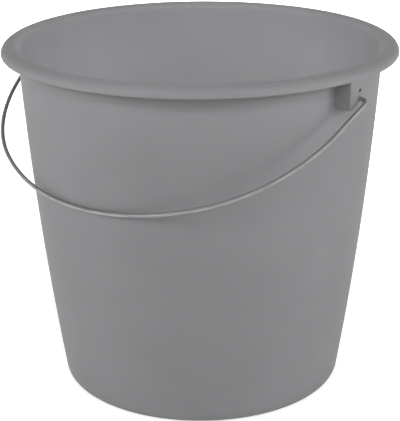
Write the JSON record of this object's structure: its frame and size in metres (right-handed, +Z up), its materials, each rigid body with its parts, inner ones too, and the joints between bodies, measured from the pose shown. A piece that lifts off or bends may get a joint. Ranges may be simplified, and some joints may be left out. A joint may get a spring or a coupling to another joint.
{
  "type": "bucket",
  "caption": "Round tapered plastic bucket with a rolled open lip, hollow ears under the lip and a loose steel wire bail that swings over the mouth to carry it.",
  "frame": {"origin": "centre of the foot ring that the bucket stands on, in the plane of the ground", "axes": "+Z up the bucket's axis, +X along the bail's pivot axis from ear to ear, -Y towards the side on which the bail hangs"},
  "size_m": [0.3174, 0.295, 0.266],
  "materials": {
    "bucket_plastic": "mid grey polypropylene, finely matt, as moulded",
    "bail_wire": "bare galvanised wire"
  },
  "bodies": {
    "bucket": {"bucket_body": "bucket_plastic"},
    "bail": {"wire_bail": "bail_wire"}
  },
  "joints": [
    {"name": "bail_swing", "type": "hinge", "parent": "bucket", "child": "bail", "pos_m": [0, 0, 0.245], "axis": [-1, 0, 0], "range_deg": [0, 242.7]}
  ]
}
